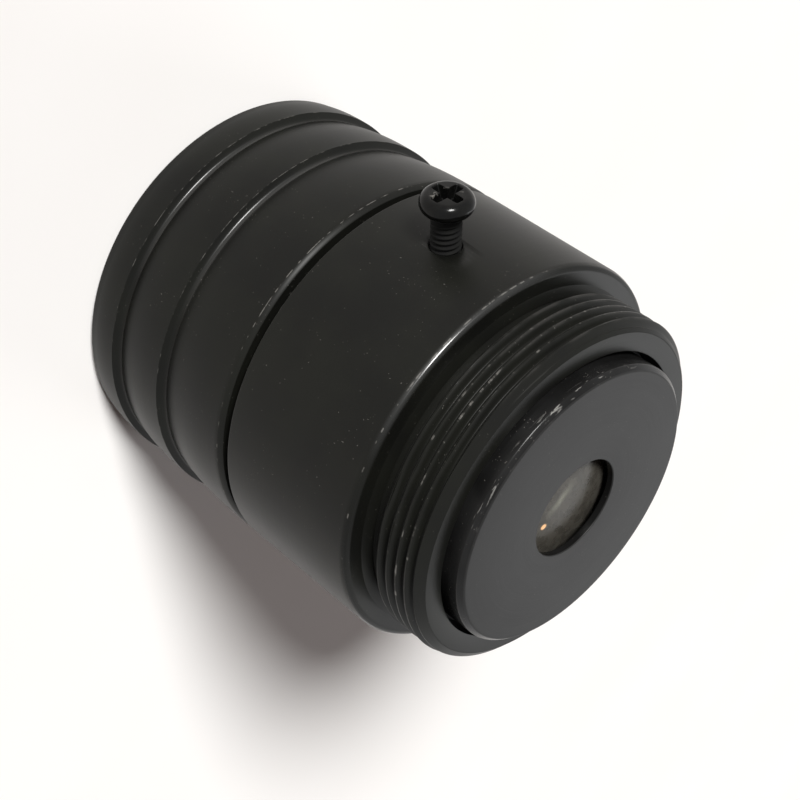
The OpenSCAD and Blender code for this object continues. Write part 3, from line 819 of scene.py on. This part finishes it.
# %% Turn the trim ring
opening_r = 8.8
mouth_r = trim_r - 0.55
STEPS = 5
step_in = (mouth_r - opening_r) / STEPS
cell_front = cell_z
step_up = (cell_front - trim_z - 0.3) / STEPS
trim_corners = [(10.13, cell_front, 0), (opening_r, cell_front, 0.03)]
for number in range(STEPS):
    trim_corners.append((opening_r + step_in * number, cell_front - 0.3 - step_up * number, 0.02))
    trim_corners.append((opening_r + step_in * (number + 1), cell_front - 0.3 - step_up * (number + 0.8), 0.02))
trim_corners += [(mouth_r, trim_z, 0.04), (trim_r, trim_z, 0.08), (trim_r, trim_end, 0.05), (10.13, trim_end, 0)]
trim = turned("trim_turned", trim_corners, inner_black)
put(trim, "trim_ring", "cell")

# %% [markdown]
# ## Finishes for the solids that stay
# The rest of the solids have the right shape already. Each keeps its mesh and only gets its finish.

# %% Give the other solids their finish
STAYING = {
    "lens_cell": inner_black, "cell_nut": inner_black, "front_retainer": inner_black,
    "front_spacer": inner_black, "aperture_stop": inner_black, "stop_spacer": inner_black,
    "rear_spacer": inner_black, "rear_retainer": inner_black, "front_element": glass,
    "second_element": glass, "flint_element": glass, "crown_element": glass, "rear_element": rear_glass,
    "slip_washer": nylon, "lock_pad": nylon, "guide_pin": steel,
}
for node, finish in STAYING.items():
    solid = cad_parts[node]
    solid.data.materials.clear()
    solid.data.materials.append(finish)
    for face in solid.data.polygons:
        face.use_smooth = True
    solid.data.set_sharp_from_angle(angle=math.radians(30))
print("solids that keep their mesh:", len(STAYING))

# %% [markdown]
# ## Floor and light
# The lens stands on a white floor. A large soft lamp on the side of the lock screw does most of the
# work and throws the long soft shadow, and a second one from behind gives the rear faces their even
# sheen. The floor and the sky look white to the camera and in reflections, but the sky lights the
# lens much less than that, so the black stays black.


# %% The floor
def white_floor():
    material = bpy.data.materials.new("white_floor")
    material.use_nodes = True
    tree = material.node_tree
    shader = tree.nodes["Principled BSDF"]
    shader.inputs["Roughness"].default_value = 0.9
    shader.inputs["Specular IOR Level"].default_value = 0.1
    spot = Spot(tree)
    paper = spot.grain(0.05, detail=2.0)
    feed(shader, Base_Color=paper.ramp(0.2, 0.8).blend((0.96, 0.95, 0.94, 1), (0.975, 0.97, 0.965, 1)))
    return material


ground = bpy.data.meshes.new("ground")
half = 1.2
ground.from_pydata([(-half, -half, 0), (half, -half, 0), (half, half, 0), (-half, half, 0)], [], [(0, 1, 2, 3)])
ground.materials.append(white_floor())
floor_piece = bpy.data.objects.new("ground", ground)
floor_piece.location.z = -0.0002
bpy.context.scene.collection.objects.link(floor_piece)
print("floor", 2 * half, "m across")

# %% The sky
sky = bpy.data.worlds.new("sky")
bpy.context.scene.world = sky
sky.use_nodes = True
sky_light = sky.node_tree.nodes["Background"]
seen = Wire(sky.node_tree).make("ShaderNodeLightPath", output="Is Camera Ray")
shown = (seen + seen.also("Is Glossy Ray") + seen.also("Is Transmission Ray")).ramp(0.0, 1.0)
strength = 0.085 + shown * 0.915
sky.node_tree.links.new(strength.socket, sky_light.inputs["Strength"])
tint = shown.blend((1.0, 0.77, 0.71, 1), (1, 1, 1, 1))
sky.node_tree.links.new(tint.socket, sky_light.inputs["Color"])
print("sky: white where it is seen")


# %% The lamps
def lamp(name, azimuth, elevation, distance, width, height, power, colour=(1, 1, 1)):
    """A soft rectangle of light aimed at the middle of the lens."""
    light = bpy.data.lights.new(name, "AREA")
    light.shape = "RECTANGLE"
    light.size = width
    light.size_y = height
    light.energy = power
    light.color = colour
    holder = bpy.data.objects.new(name, light)
    bpy.context.scene.collection.objects.link(holder)
    a, e = math.radians(azimuth), math.radians(elevation)
    away = Vector((math.cos(a) * math.cos(e), math.sin(a) * math.cos(e), math.sin(e)))
    holder.location = Vector((0, 0, 0.016)) + away * distance
    holder.rotation_euler = away.to_track_quat("Z", "Y").to_euler()
    holder.visible_camera = False
    print("lamp", name, power, "W")
    return holder


def far_window(name, azimuth, elevation, width, strength, colour):
    """A soft round light so far away that it lights the whole floor evenly; width is in degrees."""
    light = bpy.data.lights.new(name, "SUN")
    light.angle = math.radians(width)
    light.energy = strength
    light.color = colour
    holder = bpy.data.objects.new(name, light)
    bpy.context.scene.collection.objects.link(holder)
    a, e = math.radians(azimuth), math.radians(elevation)
    away = Vector((math.cos(a) * math.cos(e), math.sin(a) * math.cos(e), math.sin(e)))
    holder.rotation_euler = away.to_track_quat("Z", "Y").to_euler()
    print("window", name, strength, "W per square metre")
    return holder


far_window("window", 13, 31, 16, 5.6, (1.0, 0.99, 0.97))
lamp("table_glow", 226, 34, 4.0, 1.8, 1.8, 22.0, (0.98, 0.99, 1.0))

# %% [markdown]
# ## The face count
# The faces of all the pieces made here are added up and printed.

# %% Count the faces of the made pieces
print("faces in made pieces:", sum(all_pieces.values()))
